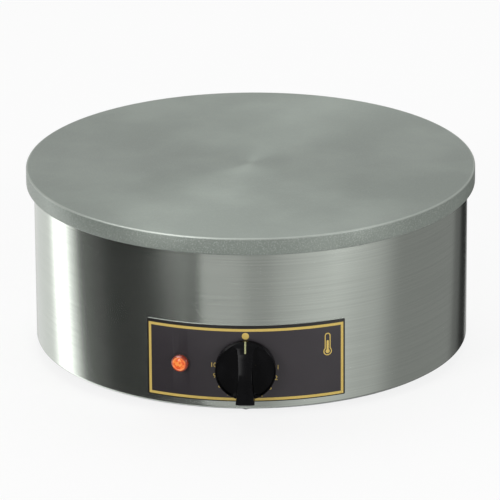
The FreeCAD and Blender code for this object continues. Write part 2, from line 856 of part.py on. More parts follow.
def dish_cutters():
    # D-shaped dishes either side of the grip, and the open space in front of them.
    edge_r = knob_r - knob_lip
    dishes = Part.Face(Part.Wire(Part.Circle(Vector(0, 0, 0), Vector(0, 0, 1), edge_r).toShape()))
    dishes = dishes.cut(grip_outline(0))
    dishes.translate(Vector(0, 0, knob_skirt_l - knob_dish))
    cutters = []
    for face in dishes.Faces:
        dish = face.extrude(Vector(0, 0, knob_dish + knob_l))
        upright_edges = [edge for edge in dish.Edges if abs(edge.tangentAt(edge.FirstParameter).z) > 0.99]
        cutters.append(dish.makeFillet(dish_corner_r, upright_edges))
    front = rod(knob_r + knob_lip, knob_skirt_l, 2 * knob_l)
    front = front.cut(grip_outline(0).extrude(Vector(0, 0, 2 * knob_l)))
    return cutters + [front]


def control_knob():
    # Moulded knob: a round skirt with two dishes, a waisted grip between them and a hollow ribbed back.
    outside = rod(knob_r, 0, knob_l).common(grip_side(0, knob_r)).cut(dish_cutters())
    skirt_hollow = rod(knob_r - knob_wall, 0, knob_skirt_l - knob_dish - knob_wall)
    skirt_hollow = skirt_hollow.common(grip_side(knob_wall, knob_r))
    grip_hollow = grip_outline(knob_wall).extrude(Vector(0, 0, knob_l))
    grip_hollow = grip_hollow.common(grip_side(knob_wall, knob_r)).common(rod(knob_r - knob_wall, 0, knob_l))
    hub = rod(hub_r, 0, knob_l)
    half_rib = knob_rib_t / 2
    ribs = [block(-knob_r, knob_r, -half_rib, half_rib, 0, knob_l)]
    ribs.append(block(-half_rib, half_rib, -knob_r, knob_r, 0, knob_l))
    spring_groove = tube(hub_r, hub_r + 2 * hub_spring_t, 0, hub_spring_w + hole_gap)
    hollow = skirt_hollow.fuse(grip_hollow).cut([hub] + ribs).fuse(spring_groove)
    bore = flatted_rod(spindle_r + spindle_fit, spindle_flat + spindle_fit - spindle_flat_fit, 0, knob_bore_l)
    knob = outside.cut(hollow).cut(bore)
    knob.translate(Vector(0, 0, knob_back))
    return facing_out(knob.removeSplitter(), control_z)


def pilot_lamp_lens():
    # Moulded amber lens with a bevelled rim.
    start = label_outer_r + lamp_flange_t
    lens = turned([
        (0, start),
        (lamp_lens_r, start),
        (lamp_lens_r, start + lamp_lens_l - lamp_lens_edge),
        (lamp_lens_r - lamp_lens_edge, start + lamp_lens_l, lamp_lens_round),
        (0, start + lamp_lens_l),
    ])
    return facing_out(lens, lamp_z, lamp_angle)


def pilot_lamp_body():
    # Barrel through the drum with a front flange and two terminal tabs.
    front = label_outer_r + lamp_flange_t
    back = front - lamp_body_l
    flange = rod(lamp_lens_r, label_outer_r + sheet_gap, front)
    barrel = rod(lamp_body_r, back, front)
    half_w = lamp_tab_w / 2
    half_t = lamp_tab_t / 2
    tabs = [block(x - half_t, x + half_t, -half_w, half_w, back - lamp_tab_l, back)
            for x in (-lamp_body_r / 2, lamp_body_r / 2)]
    return facing_out(flange.fuse([barrel] + tabs).removeSplitter(), lamp_z, lamp_angle)


def pilot_lamp_clip():
    # Spring washer that holds the barrel from inside.
    front = drum_inner_r - sheet_gap - lamp_clip_r ** 2 / (2 * drum_inner_r)
    clip = tube(lamp_body_r + thread_gap, lamp_clip_r, front - lamp_clip_t, front)
    return facing_out(clip, lamp_z, lamp_angle)


def gland_start():
    return drum_r + sheet_gap / 2


def gland_locknut_front():
    return drum_inner_r - sheet_gap - gland_nut_flats ** 2 / (6 * drum_inner_r)


def cable_gland_body():
    # Threaded body through the back of the drum, with a hexagon outside.
    start = gland_start()
    inner_end = gland_locknut_front() - gland_nut_t - stud_end
    body = rod(gland_thread_r, inner_end, start).fuse([
        hexagon(gland_flats, start, start + gland_body_l),
        rod(gland_neck_r, start + gland_body_l, start + gland_body_l + gland_neck_l),
    ]).removeSplitter()
    seal_seat = start + gland_body_l / 2
    body = body.cut([
        rod(gland_bore_r, inner_end, seal_seat),
        rod(gland_neck_r - gland_wall, seal_seat, start + gland_body_l + gland_neck_l),
    ])
    return facing_out(body, gland_z, 180)


def cable_gland_seal():
    # Rubber sleeve with a short nose at each end, in the bores of the body and the cap.
    start = gland_start() + gland_body_l / 2
    end = start + gland_body_l / 2 + gland_neck_l
    nose = rod(gland_bore_r - thread_gap, start - gland_nose_l, end + gland_nose_l)
    seal = rod(gland_neck_r - gland_wall - thread_gap, start, end).fuse(nose)
    seal = seal.cut(rod(gland_seal_bore_r, start - gland_nose_l, end + gland_nose_l))
    return facing_out(seal, gland_z, 180)


def cable_gland_cap():
    # Dome nut that squeezes the seal round the cable.
    start = gland_start() + gland_body_l + hole_gap
    hex_end = start + gland_cap_hex_l
    end = start + gland_cap_l
    dome = turned([
        (0, hex_end),
        (gland_cap_flats / 2, hex_end),
        (gland_cap_end_r, end),
        (0, end),
    ])
    cap = hexagon(gland_cap_flats, start, hex_end).fuse(dome).removeSplitter()
    cap = cap.cut([
        rod(gland_neck_r + thread_gap, start, gland_start() + gland_body_l + gland_neck_l + hole_gap),
        rod(gland_bore_r, start, end),
    ])
    return facing_out(cap, gland_z, 180)


def cable_gland_locknut():
    front = gland_locknut_front()
    return facing_out(nut(gland_nut_flats, gland_thread_r, front - gland_nut_t, front), gland_z, 180)


def terminal_block():
    # Ceramic block with a slot and a screw well for each pole.
    half_l = block_l / 2 + block_pole_pitch / 2
    half_w = block_w / 2
    bottom = base_floor_top_z
    body = block(-half_l, half_l, block_y - half_w, block_y + half_w, bottom, bottom + block_h)
    cuts = []
    for pole in range(block_poles):
        x = (pole - (block_poles - 1) / 2) * block_pole_pitch
        slot_half = block_slot_w / 2
        for side in (-1, 1):
            y_in = block_y + side * (half_w - block_slot_l)
            y_out = block_y + side * half_w
            cuts.append(block(x - slot_half, x + slot_half, min(y_in, y_out), max(y_in, y_out),
                              bottom + block_h - block_slot_h, bottom + block_h))
        cuts.append(rod(m4_r + thread_gap, bottom + block_h - thread_depth, bottom + block_h, x, block_y))
    for x in (-block_pole_pitch * block_poles / 2, block_pole_pitch * block_poles / 2):
        cuts.append(rod(m4_r + hole_gap, bottom, bottom + block_h, x, block_y))
    return body.cut(cuts)


def terminal_screws():
    # One screw for each pole, and two that hold the block to the base plate.
    top = base_floor_top_z + block_h
    screws = []
    for pole in range(block_poles):
        x = (pole - (block_poles - 1) / 2) * block_pole_pitch
        head = rod(m4_r * small_head_ratio, top, top + screw_head_h, x, block_y)
        screws.append(head.fuse(rod(m4_r, top - thread_depth + stud_end, top, x, block_y)).removeSplitter())
    return screws


def block_screws():
    screws = []
    for x in (-block_pole_pitch * block_poles / 2, block_pole_pitch * block_poles / 2):
        tip = base_floor_top_z + block_h - stud_end
        screws.append(hex_screw(m4_r, m4_flats, base_floor_z - screw_head_h, tip, x, block_y))
    return screws


def earth_stud():
    # Stud through the base plate for the earth lead.
    tip = base_floor_z + earth_stud_l
    return hex_screw(m5_r, m5_flats, base_floor_z - screw_head_h, tip, earth_x, earth_y)


def earth_nuts():
    low = nut(m5_flats, m5_r, base_floor_top_z, base_floor_top_z + m5_nut_h, earth_x, earth_y)
    bottom = base_floor_top_z + m5_nut_h + hole_gap
    return [low, nut(m5_flats, m5_r, bottom, bottom + m5_nut_h, earth_x, earth_y)]


def knob_spring():
    # Spring ring round the hub's mouth, which grips the spindle.
    ring = tube(hub_r + thread_gap, hub_r + thread_gap + hub_spring_t, 0, hub_spring_w)
    reach = 2 * hub_r
    half = math.radians(hub_spring_opening / 2)
    wide = reach * math.sin(half)
    deep = reach * math.cos(half)
    ring = ring.cut(raised([(0, 0), (deep, -wide), (deep, wide)], 0, hub_spring_w))
    ring.translate(Vector(0, 0, knob_back))
    return facing_out(ring, control_z)


os.makedirs("parts", exist_ok=True)
save("cooking_plate", cooking_plate())
save("plate_studs", *plate_studs())
save("plate_clips", *plate_clips())
save("plate_nuts", *plate_nuts())
save("drum_wall", drum_wall())
save("base_plate", base_plate())
save("base_screws", *base_screws())
save("base_nuts", *base_nuts())
for foot_name, quarter in (("rear_right", 0), ("rear_left", 1), ("front_left", 2), ("front_right", 3)):
    save("foot_" + foot_name, about_axis(foot(), foot_angle + 90 * quarter))
save("foot_screws", *foot_screws())
save("foot_nuts", *foot_nuts())
save("heating_element", heating_element())
save("element_insulators", *element_insulators())
save("element_terminals", *element_terminals())
save("element_spreader", element_spreader())
save("element_studs", *element_studs())
save("spreader_nuts", *spreader_nuts())
save("shield_spacers", *shield_spacers())
save("insulation_board", insulation_board())
save("heat_shield", heat_shield())
save("shield_nuts", *shield_nuts())
save("thermostat_capillary", thermostat_capillary())
save("bulb_clip", bulb_clip())
save("bulb_clip_screw", bulb_clip_screw())
save("thermostat_bracket", thermostat_bracket())
save("thermostat_body", thermostat_body())
save("thermostat_screws", *thermostat_screws())
save("thermostat_spindle", thermostat_spindle())
save("control_knob", control_knob())
save("control_label", control_label())
save("pilot_lamp_lens", pilot_lamp_lens())
save("pilot_lamp_body", pilot_lamp_body())
save("pilot_lamp_clip", pilot_lamp_clip())
save("cable_gland_body", cable_gland_body())
save("cable_gland_seal", cable_gland_seal())
save("cable_gland_cap", cable_gland_cap())
save("cable_gland_locknut", cable_gland_locknut())
save("terminal_block", terminal_block())
save("terminal_screws", *terminal_screws())
save("block_screws", *block_screws())
save("earth_stud", earth_stud())
save("knob_spring", knob_spring())
save("earth_nuts", *earth_nuts())
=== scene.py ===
import math

import bpy
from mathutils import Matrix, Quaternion, Vector


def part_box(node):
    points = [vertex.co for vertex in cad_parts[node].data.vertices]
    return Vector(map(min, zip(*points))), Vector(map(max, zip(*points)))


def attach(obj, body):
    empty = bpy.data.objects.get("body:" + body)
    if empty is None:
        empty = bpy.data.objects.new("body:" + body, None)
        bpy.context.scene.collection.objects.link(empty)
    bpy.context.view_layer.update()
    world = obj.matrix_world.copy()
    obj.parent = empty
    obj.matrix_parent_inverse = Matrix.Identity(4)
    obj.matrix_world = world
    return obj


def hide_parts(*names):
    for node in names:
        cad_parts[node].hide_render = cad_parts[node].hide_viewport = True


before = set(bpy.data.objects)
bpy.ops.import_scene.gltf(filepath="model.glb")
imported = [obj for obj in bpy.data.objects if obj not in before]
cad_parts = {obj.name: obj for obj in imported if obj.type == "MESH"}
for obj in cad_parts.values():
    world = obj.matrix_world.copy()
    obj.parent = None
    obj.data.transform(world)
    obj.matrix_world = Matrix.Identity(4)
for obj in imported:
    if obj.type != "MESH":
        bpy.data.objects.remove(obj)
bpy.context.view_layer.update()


# Studio: a white table, a ring of tall reflector panels and flags, three soft lamps and the camera.
# The panels show only in polished surfaces, as the upright bands that brushed steel picks up.

focal_length = 379.73
camera_distance = 4.7269
camera_side = math.radians(1.6)
camera_height = math.radians(19.997)
camera_roll = math.radians(-0.374)
aim = Vector((0, 0, 0.0842))
view_shift = -1.109 / 500

table_size = 8
table_white = 0.92
table_glow = 0.82
room_light = 0.66
wall_light = 0.6
ceiling_light = 0.6
rear_light = 0.72
rear_reach = (166, 176)
rear_ceiling = (0.0, 0.9)
ceiling_rise = (0.06, 0.4)
high_lamp_light = 7.5
high_lamp_up = (0.6, 0.66)
high_lamp_side = (-0.3, -0.1)
high_lamp_back = (0.1, 0.3)

# Each panel reaches from one direction to another, in degrees right of the front, with soft edges.
panels = [
    {"name": "left screen", "reach": (-170, -103), "soft": 16, "light": 1.0},
    {"name": "left lamp", "reach": (-128, -111), "soft": 8, "light": 2.6},
    {"name": "left flag", "reach": (-103, -25), "soft": 4, "light": 0.15},
    {"name": "left flag fold", "reach": (-84, -42), "soft": 24, "light": 0.045},
    {"name": "front screen", "reach": (-25, 18), "soft": 1, "light": 0.58},
    {"name": "front screen fold", "reach": (-2, 13), "soft": 9, "light": 0.46},
    {"name": "right screen", "reach": (26, 53), "soft": 22, "light": 0.76},
    {"name": "right flag", "reach": (78, 149), "soft": 20, "light": 0.34},
    {"name": "right flag edge", "reach": (138, 150), "soft": 4, "light": 0.18},
    {"name": "right dark flag", "reach": (149, 167), "soft": 3, "light": 0.03},
]

lamps = [
    {"name": "key", "place": (-1.7, -2.2, 1.2), "size": 0.9, "power": 26},
    {"name": "fill", "place": (2.2, -1.7, 1.0), "size": 1.1, "power": 20},
    {"name": "top", "place": (0.1, 1.0, 2.0), "size": 1.5, "power": 13},
]


class Value:
    """A node's output. Sums and products on it add Math nodes."""

    def __init__(self, finish, socket):
        self.finish = finish
        self.socket = socket

    def output(self, name):
        """Another output of the same node."""
        return Value(self.finish, self.socket.node.outputs[name])

    def maths(self, operation, *values):
        """A Math node that takes this value first."""
        inputs = dict(enumerate((self, *values)))
        return self.finish.node("Math", {"operation": operation}, inputs)

    def __add__(self, other):
        return self.maths("ADD", other)

    def __mul__(self, other):
        return self.maths("MULTIPLY", other)

    def __sub__(self, other):
        return self.maths("SUBTRACT", other)

    def __rsub__(self, other):
        return self.finish.node("Math", {"operation": "SUBTRACT"}, {0: other, 1: self})

    __radd__ = __add__
    __rmul__ = __mul__


class Finish:
    """The node tree of a material or of the world, filled through one method."""

    def __init__(self, owner):
        owner.use_nodes = True
        self.owner = owner
        self.tree = owner.node_tree
        self.tree.nodes.clear()

    def node(self, kind, settings=None, inputs=None, output=0):
        """Adds a node, links or sets its inputs, and gives one of its outputs."""
        made = self.tree.nodes.new("ShaderNode" + kind)
        for name, value in (settings or {}).items():
            setattr(made, name, value)
        for name, value in (inputs or {}).items():
            if isinstance(value, Value):
                self.tree.links.new(value.socket, made.inputs[name])
            else:
                made.inputs[name].default_value = value
        return Value(self, made.outputs[output] if len(made.outputs) else None)

    def rise(self, value, start, end):
        """0 below start, 1 above end and smooth between them."""
        return self.node("MapRange", {"interpolation_type": "SMOOTHSTEP"},
                         {"Value": value, "From Min": start, "From Max": end})

    def mix(self, factor, one, other):
        """One colour where factor is 0 and the other where it is 1."""
        return self.node("Mix", {"data_type": "RGBA"}, {0: factor, 6: one, 7: other}, 2)

    def show(self, surface, kind="OutputMaterial"):
        """Ends the tree in an output node."""
        self.tree.links.new(surface.socket, self.tree.nodes.new("ShaderNode" + kind).inputs["Surface"])


world = bpy.data.worlds.new("studio")
bpy.context.scene.world = world
world.cycles.sampling_method = "NONE"
studio = Finish(world)
ray = studio.node("LightPath", output="Is Camera Ray")
side = studio.node("SeparateXYZ", inputs={0: studio.node("TexCoord", output="Generated")}, output="X")
back, up = side.output("Y"), side.output("Z")
direction = side.maths("ARCTAN2", back * -1.0) * math.degrees(1)
light = studio.rise(direction.maths("ABSOLUTE"), *rear_reach) * (rear_light - wall_light) + wall_light
for panel in panels:
    left, right = panel["reach"]
    half = panel["soft"] / 2
    inside = studio.rise(direction, left - half, left + half)
    inside = inside - studio.rise(direction, right - half, right + half)
    light = light + inside * (panel["light"] - light)
overhead = studio.rise(back, *rear_ceiling) * (rear_light - ceiling_light) + ceiling_light
light = light + studio.rise(up, *ceiling_rise) * (overhead - light)
high_lamp = studio.rise(up, *high_lamp_up) * (1.0 - studio.rise(side, *high_lamp_side))
high_lamp = high_lamp * (1.0 - studio.rise(back, *high_lamp_back))
light = light + high_lamp * (high_lamp_light - light)
glossy = ray.output("Is Glossy Ray")
light = light * glossy + (1.0 - glossy) * room_light
plain = ray.maths("MAXIMUM", ray.output("Is Transmission Ray"))
light = light + plain * (1.0 - light)
studio.show(studio.node("Background", inputs={"Strength": light}), "OutputWorld")

bpy.ops.object.select_all(action="DESELECT")
bpy.ops.mesh.primitive_plane_add(size=table_size)
table = bpy.context.object
table.name = "table"
table.visible_glossy = False
table_finish = Finish(bpy.data.materials.new("table_white"))
seen = table_finish.node("LightPath", output="Is Camera Ray")
matt = table_finish.node("BsdfDiffuse", inputs={"Color": (table_white, table_white, table_white, 1)})
glow = table_finish.node("Emission", inputs={"Strength": 1.0})
table_finish.show(table_finish.node("MixShader", inputs={0: seen * table_glow, 1: matt, 2: glow}))
table.data.materials.append(table_finish.owner)

for lamp in lamps:
    bpy.ops.object.light_add(type="AREA", location=lamp["place"])
    soft_box = bpy.context.object
    soft_box.name = lamp["name"]
    soft_box.data.size = lamp["size"]
    soft_box.data.energy = lamp["power"]
    toward_lamp = Vector(lamp["place"]) - aim
    soft_box.rotation_euler = toward_lamp.to_track_quat("Z", "Y").to_euler()

toward_camera = Vector((math.sin(camera_side) * math.cos(camera_height),
                        -math.cos(camera_side) * math.cos(camera_height), math.sin(camera_height)))
bpy.ops.object.camera_add(location=aim + toward_camera * camera_distance)
camera = bpy.context.object
level_view = toward_camera.to_track_quat("Z", "Y")
camera.rotation_euler = (level_view @ Quaternion((0, 0, 1), camera_roll)).to_euler()
camera.data.lens = focal_length
camera.data.shift_x = view_shift
camera.data.clip_end = 4 * camera_distance
bpy.context.scene.camera = camera
bpy.context.scene.view_settings.view_transform = "Standard"


# Base plate: zinc coated sheet, pressed into a shallow tray with vent slots.
# Its rim lies under the drum's lower flange on six hexagon screws, with their nuts inside the drum.

zinc = (0.50, 0.52, 0.53, 1)
zinc_light = (0.64, 0.66, 0.66, 1)
zinc_dull = (0.36, 0.37, 0.38, 1)
bolt_steel = (0.58, 0.58, 0.57, 1)
bolt_stain = (0.30, 0.27, 0.24, 1)


def axes_of(finish):
    """The x coordinate in metres. Its outputs Y and Z are the others."""
    return finish.node("SeparateXYZ", inputs={0: finish.node("TexCoord", output="Object")}, output="X")


def noise(finish, scale, detail=2.0, stretch=(1, 1, 1)):
    """Noise on the piece's own coordinates, with scale in features per metre."""
    place = finish.node("TexCoord", output="Object")
    place = finish.node("Mapping", inputs={"Vector": place, "Scale": stretch})
    return finish.node("TexNoise", inputs={"Vector": place, "Scale": scale, "Detail": detail})


def surface(finish, colour, roughness, metallic=0.0, height=None, depth=0.0001, **constants):
    """Ends a material in a Principled shader. Where height is 1, the bump stands depth metres high."""
    inputs = {"Base Color": colour, "Roughness": roughness, "Metallic": metallic}
    inputs.update({name.replace("_", " "): value for name, value in constants.items()})
    if height is not None:
        inputs["Normal"] = finish.node("Bump", inputs={"Height": height, "Distance": depth})
    finish.show(finish.node("BsdfPrincipled", inputs=inputs))
    return finish


def zinc_sheet(name, plain_colour, light_colour, spangle_size):
    """Zinc coated sheet: crystals of slightly different grey, with dull stains."""
    finish = Finish(bpy.data.materials.new(name))
    place = finish.node("TexCoord", output="Object")
    crystal = finish.node("TexVoronoi", inputs={"Vector": place, "Scale": 1 / spangle_size}, output="Color")
    crystal = finish.node("SeparateColor", inputs={0: crystal})
    stain = finish.rise(noise(finish, 22, 5), 0.5, 0.75)
    colour = finish.mix(crystal * 0.6, plain_colour, light_colour)
    colour = finish.mix(stain * 0.5, colour, zinc_dull)
    roughness = 0.38 + crystal * 0.12 + stain * 0.15
    return surface(finish, colour, roughness, 0.85, noise(finish, 260, 3), 0.00004)


def bolt_finish():
    """Bright plated screws and nuts, with darker handling marks and fine turning grain."""
    finish = Finish(bpy.data.materials.new("plated_hardware"))
    mark = finish.rise(noise(finish, 120, 4), 0.52, 0.7)
    grain = noise(finish, 1500, 2, (1, 1, 6))
    colour = finish.mix(mark * 0.6, bolt_steel, bolt_stain)
    return surface(finish, colour, 0.3 + mark * 0.2 + (grain - 0.5) * 0.12, 0.9, grain, 0.00003)


def dress(finish, *names):
    """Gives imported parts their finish."""
    for name in names:
        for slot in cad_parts[name].material_slots:
            slot.material = finish.owner


base_finish = zinc_sheet("base_zinc", zinc, zinc_light, 0.009)
hardware = bolt_finish()
dress(base_finish, "base_plate")
dress(hardware, "base_screws", "base_nuts")


# Feet: four moulded rubber feet, narrower below, each on one hexagon screw through the base plate.
# The screw's head stands in a deep recess, clear of the table.

rubber_black = (0.022, 0.022, 0.023, 1)
rubber_dust = (0.09, 0.088, 0.085, 1)


def foot_rubber():
    """Matt black rubber with pale dust in its grain and where it meets the table."""
    finish = Finish(bpy.data.materials.new("foot_rubber"))
    height = axes_of(finish).output("Z")
    grain = noise(finish, 1300, 3)
    worn = (1.0 - finish.rise(height, 0.0005, 0.003)) * 0.6
    dust = finish.rise(noise(finish, 90, 4), 0.45, 0.75)
    colour = finish.mix(dust * 0.3 + worn * 0.4, rubber_black, rubber_dust)
    return surface(finish, colour, 0.72 + dust * 0.15, 0.0, grain, 0.00008)


rubber = foot_rubber()
dress(rubber, "foot_rear_right", "foot_rear_left", "foot_front_left", "foot_front_right")
dress(hardware, "foot_screws", "foot_nuts")


# Drum: stainless sheet, rolled, welded at the back and brushed round its length, with its edges turned in.
# The upper flange carries the plate, and the lower one takes the base plate's screws.

drum_low, drum_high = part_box("drum_wall")
drum_radius = drum_high.x
drum_sheet = 0.001
drum_bend = 0.0025
upper_flange = 0.010
lower_flange = 0.018
drum_sides = 360
hole_sides = 48
spindle_hole = 0.006
lamp_hole = 0.0061
gland_hole = 0.0103
knob_low, knob_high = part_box("control_knob")
gland_low, gland_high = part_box("cable_gland_cap")
control_height = (knob_low.z + knob_high.z) / 2
gland_height = (gland_low.z + gland_high.z) / 2
lamp_angle = -16.91
lamp_rise = 0.0021
steel = (0.65, 0.695, 0.635, 1)
steel_dark = (0.53, 0.57, 0.52, 1)
line_depth = 0.000004
wave_depth = 0.00028
touch = 1e-5


def leave_edit_mode():
    """Returns to object mode, where objects can be added and chosen."""
    if bpy.context.object and bpy.context.object.mode == "EDIT":
        bpy.ops.object.mode_set(mode="OBJECT")


def choose(piece):
    """Makes a piece active and the only one selected."""
    leave_edit_mode()
    bpy.ops.object.select_all(action="DESELECT")
    piece.select_set(True)
    bpy.context.view_layer.objects.active = piece


def settle(piece):
    """Moves a piece's place and turn into its mesh."""
    choose(piece)
    bpy.ops.object.transform_apply(location=True, rotation=True, scale=True)


def start_piece(name, primitive, scale=(1, 1, 1), **size):
    """Adds a primitive with its place in its mesh."""
    leave_edit_mode()
    bpy.ops.object.select_all(action="DESELECT")
    primitive(**size)
    piece = bpy.context.object
    piece.name = name
    piece.scale = scale
    settle(piece)
    return piece


def pick(piece, kind, wanted):
    """Selects the faces, edges or points whose places are wanted, and leaves the piece in edit mode."""
    bpy.ops.object.mode_set(mode="EDIT")
    bpy.ops.mesh.select_mode(type=kind)
    bpy.ops.mesh.select_all(action="DESELECT")
    bpy.ops.object.mode_set(mode="OBJECT")
    mesh = piece.data
    if kind == "VERT":
        for point in mesh.vertices:
            point.select = wanted([point.co])
    else:
        for part in mesh.polygons if kind == "FACE" else mesh.edges:
            part.select = wanted([mesh.vertices[index].co for index in part.vertices])
    bpy.ops.object.mode_set(mode="EDIT")


def at_height(*heights):
    """True for points that all lie at one of these heights."""
    return lambda points: any(all(abs(point.z - height) < touch for point in points) for height in heights)


def at_rim(radius, *heights):
    """True for points that all lie on a circle round the drum's axis at one of these heights."""
    level = at_height(*heights)
    return lambda points: level(points) and all(abs(point.xy.length - radius) < touch for point in points)


def push(x=0.0, y=0.0, z=0.0):
    """Extrudes what is selected and moves it."""
    bpy.ops.mesh.extrude_region_move(TRANSFORM_OT_translate={"value": (x, y, z)})


def modify(piece, kind, **settings):
    """Adds a modifier and applies it."""
    choose(piece)
    modifier = piece.modifiers.new(kind.lower(), kind)
    for name, value in settings.items():
        setattr(modifier, name, value)
    bpy.ops.object.modifier_apply(modifier=modifier.name)


def combine(piece, tool, operation):
    """Joins a tool to a piece or cuts it away, and removes the tool."""
    modify(piece, "BOOLEAN", operation=operation, object=tool)
    bpy.data.objects.remove(tool)


def face_out(piece, radius, height, angle=0.0):
    """Turns a piece built along +Z to point out of the drum, angle degrees right of the front."""
    turn = math.radians(angle)
    piece.rotation_euler = (math.radians(90), 0, turn)
    piece.location = (radius * math.sin(turn), -radius * math.cos(turn), height)
    settle(piece)


def place_piece(piece, finish, body, slot, *nodes, smooth=30):
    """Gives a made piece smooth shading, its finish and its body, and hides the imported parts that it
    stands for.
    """
    choose(piece)
    bpy.ops.object.shade_smooth_by_angle(angle=math.radians(smooth))
    if not piece.data.materials:
        piece.data.materials.append(finish.owner)
    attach(piece, body)
    if nodes:
        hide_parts(*nodes)


def brushed_steel():
    """Steel brushed round the drum: fine level lines, a slightly wavy sheet and faint handling marks."""
    finish = Finish(bpy.data.materials.new("brushed_steel"))
    x = axes_of(finish)
    around = x.maths("ARCTAN2", x.output("Y") * -1.0)
    height = x.output("Z")
    fine_lines = finish.node("TexNoise", inputs={
        "Vector": finish.node("CombineXYZ", inputs={0: around * 5.0, 1: height * 2600.0}),
        "Scale": 1.0, "Detail": 2.0})
    long_lines = finish.node("TexNoise", inputs={
        "Vector": finish.node("CombineXYZ", inputs={0: around * 1.5, 1: height * 700.0}),
        "Scale": 1.0, "Detail": 3.0})
    marks = finish.rise(noise(finish, 30, 4), 0.55, 0.8)
    colour = finish.mix(finish.rise(long_lines, 0.3, 0.7) * 0.4 + marks * 0.1, steel, steel_dark)
    roughness = 0.2 + (fine_lines - 0.5) * 0.08 + marks * 0.012
    sheet_wave = noise(finish, 12, 0, (1, 1, 0.6)) * (wave_depth / line_depth)
    return surface(finish, colour, roughness, 1.0, fine_lines + sheet_wave, line_depth,
                   Anisotropic=0.78, Anisotropic_Rotation=0.25)


drum = start_piece("brushed_drum", bpy.ops.mesh.primitive_cylinder_add, vertices=drum_sides,
                   radius=drum_radius, depth=drum_high.z - drum_low.z,
                   location=(0, 0, (drum_high.z + drum_low.z) / 2), end_fill_type="NOTHING")
for height, flange in ((drum_high.z, upper_flange), (drum_low.z, lower_flange)):
    pick(drum, "EDGE", at_rim(drum_radius, height))
    bpy.ops.mesh.extrude_edges_move()
    shrink = (drum_radius - flange) / drum_radius
    bpy.ops.transform.resize(value=(shrink, shrink, 1), center_override=(0, 0, height))
pick(drum, "EDGE", at_rim(drum_radius, drum_low.z, drum_high.z))
bpy.ops.mesh.bevel(offset=drum_bend, segments=5, affect="EDGES")
modify(drum, "SOLIDIFY", thickness=drum_sheet, offset=-1)
drum_holes = [
    {"radius": spindle_hole, "height": control_height, "angle": 0},
    {"radius": lamp_hole, "height": control_height + lamp_rise, "angle": lamp_angle},
    {"radius": gland_hole, "height": gland_height, "angle": 180},
]
for hole in drum_holes:
    drill = start_piece("drill", bpy.ops.mesh.primitive_cylinder_add, vertices=hole_sides,
                        radius=hole["radius"], depth=2 * lower_flange)
    face_out(drill, drum_radius, hole["height"], hole["angle"])
    combine(drum, drill, "DIFFERENCE")
place_piece(drum, brushed_steel(), "root", "drum_steel", "drum_wall")


# Cable inlet: a moulded nylon gland through the drum's back, with its locknut inside.
# The domed cap squeezes a rubber seal round the supply cable. No cable is fitted.

nylon_black = (0.028, 0.028, 0.030, 1)
nylon_pale = (0.06, 0.06, 0.062, 1)


def gland_nylon():
    """Satin black nylon with a fine mould grain and paler scuffs."""
    finish = Finish(bpy.data.materials.new("gland_nylon"))
    scuff = finish.rise(noise(finish, 160, 4), 0.55, 0.75)
    grain = noise(finish, 1800, 2)
    colour = finish.mix(scuff * 0.5, nylon_black, nylon_pale)
    return surface(finish, colour, 0.42 + (grain - 0.5) * 0.1 + scuff * 0.12, 0.0, grain, 0.00005)


dress(gland_nylon(), "cable_gland_body", "cable_gland_cap", "cable_gland_locknut")
dress(rubber, "cable_gland_seal")


# Connections: an unglazed ceramic terminal block, screwed to the base plate near the cable inlet.
# A plated earth stud with two nuts stands beside it.

ceramic_white = (0.78, 0.76, 0.71, 1)
ceramic_shade = (0.62, 0.58, 0.50, 1)


def unglazed_ceramic():
    """Unglazed white ceramic, slightly yellowed in patches, with a fine sandy grain."""
    finish = Finish(bpy.data.materials.new("unglazed_ceramic"))
    patch = finish.rise(noise(finish, 70, 4), 0.4, 0.75)
    grain = noise(finish, 2200, 3)
    colour = finish.mix(patch * 0.6, ceramic_white, ceramic_shade)
    return surface(finish, colour, 0.6 + (grain - 0.5) * 0.2, 0.0, grain, 0.00006)


ceramic = unglazed_ceramic()
dress(ceramic, "terminal_block")
dress(hardware, "terminal_screws", "block_screws", "earth_stud", "earth_nuts")


# Thermostat: a phenolic switch on a plated bracket behind the drum's front, turned by a steel spindle.
# Its copper capillary runs up to a bulb that a clip holds against the plate.

phenolic = (0.035, 0.030, 0.027, 1)
phenolic_fleck = (0.085, 0.070, 0.055, 1)
copper = (0.62, 0.33, 0.20, 1)
copper_dark = (0.28, 0.15, 0.10, 1)


def phenolic_moulding():
    """Dark phenolic with paler wood-flour flecks and a dull skin."""
    finish = Finish(bpy.data.materials.new("phenolic_moulding"))
    fleck = finish.rise(noise(finish, 1100, 2), 0.6, 0.72)
    colour = finish.mix(fleck * 0.7, phenolic, phenolic_fleck)
    return surface(finish, colour, 0.5 + fleck * 0.1, 0.0, noise(finish, 420, 3), 0.00005)


def drawn_copper():
    """Drawn copper with dark oxide patches along its length."""
    finish = Finish(bpy.data.materials.new("drawn_copper"))
    oxide = finish.rise(noise(finish, 90, 5), 0.42, 0.7)
    colour = finish.mix(oxide * 0.8, copper, copper_dark)
    return surface(finish, colour, 0.32 + oxide * 0.25, 0.95, noise(finish, 900, 2), 0.00003)


moulding = phenolic_moulding()
bracket_zinc = zinc_sheet("bracket_zinc", zinc, zinc_light, 0.004)
dress(moulding, "thermostat_body")
dress(bracket_zinc, "thermostat_bracket", "bulb_clip")
dress(drawn_copper(), "thermostat_capillary")
dress(hardware, "thermostat_screws", "thermostat_spindle", "bulb_clip_screw", "knob_spring")


# Control label: a thin aluminium sheet, printed satin black and bonded to the drum's front.
# Its trimmed edge shows as a bright line. It has a gold border, a dial of plain numbers and a heat symbol.

